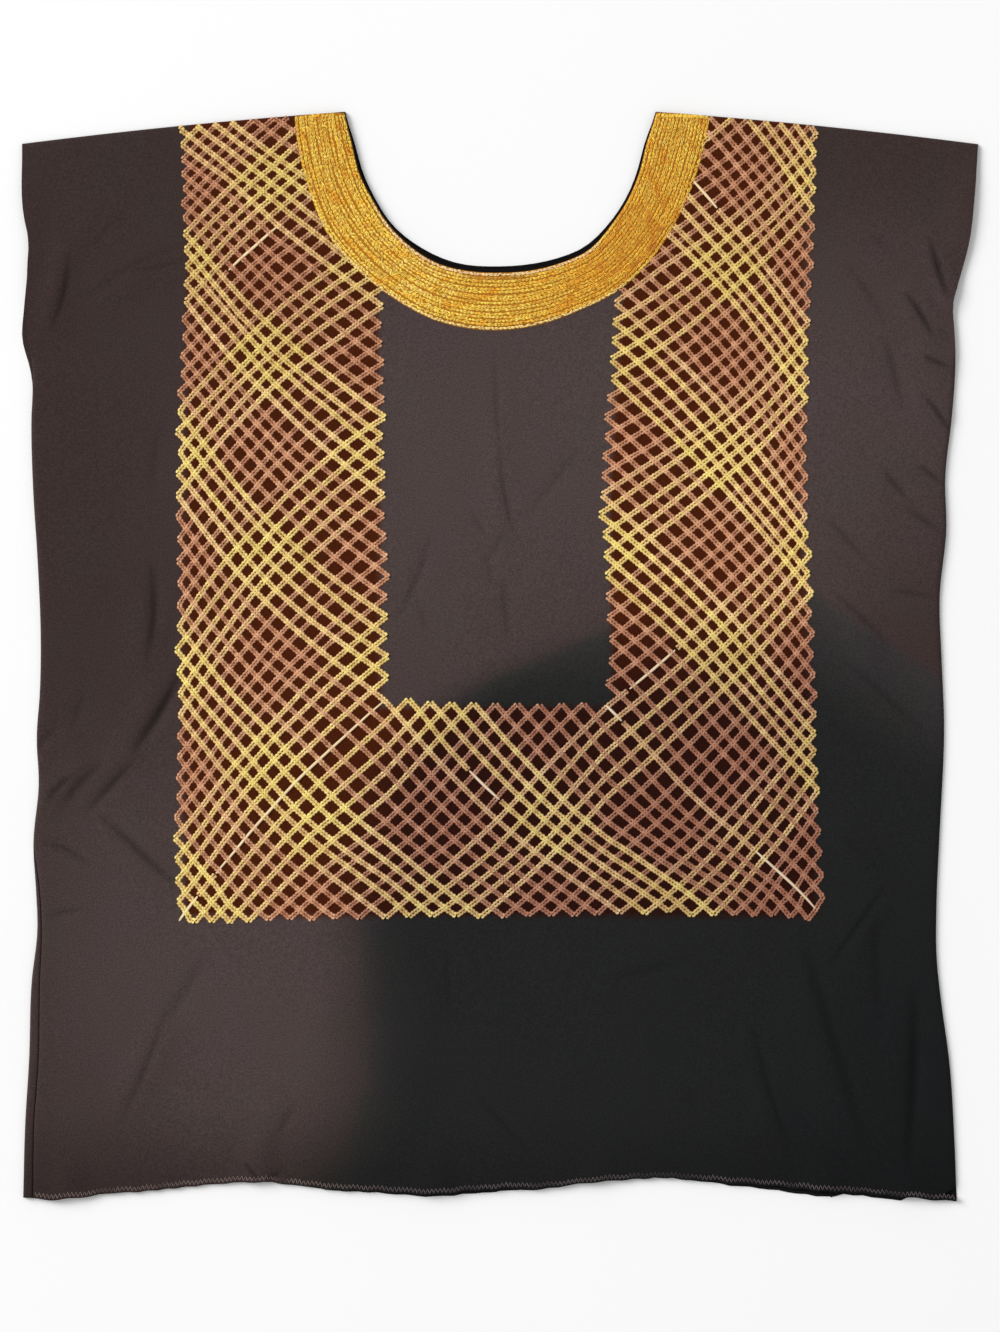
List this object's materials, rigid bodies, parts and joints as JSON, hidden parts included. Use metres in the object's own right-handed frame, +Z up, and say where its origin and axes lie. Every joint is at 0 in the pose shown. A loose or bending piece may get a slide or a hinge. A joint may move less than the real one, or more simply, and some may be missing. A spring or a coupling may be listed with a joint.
{
  "type": "embroidered huipil blouse laid flat",
  "caption": "Sleeveless black cotton huipil laid flat front up, with a scooped gold chain-stitch neck band and a U-shaped embroidered lattice band.",
  "frame": {"origin": "middle of the garment's width and length, on the surface that it lies on", "axes": "+Y towards the shoulders, +X to the right as one looks down on the front, +Z up out of the front"},
  "size_m": [0.6694, 0.7616, 0.0067],
  "materials": {
    "black_cotton": "matt plain-weave cotton, warm black",
    "hem_thread": "black rolled cotton edge under a zigzag of dull copper thread",
    "gold_thread": "soft sheen of variegated gold chain stitch",
    "lattice_thread": "soft sheen of chain stitch shading from rust to pale yellow"
  },
  "bodies": {
    "root": {"back_panel": "black_cotton", "front_panel": "black_cotton", "side_turn_left": "black_cotton", "hem_roll_front": "hem_thread", "neck_band": "gold_thread", "lattice_band": "lattice_thread"}
  },
  "joints": []
}
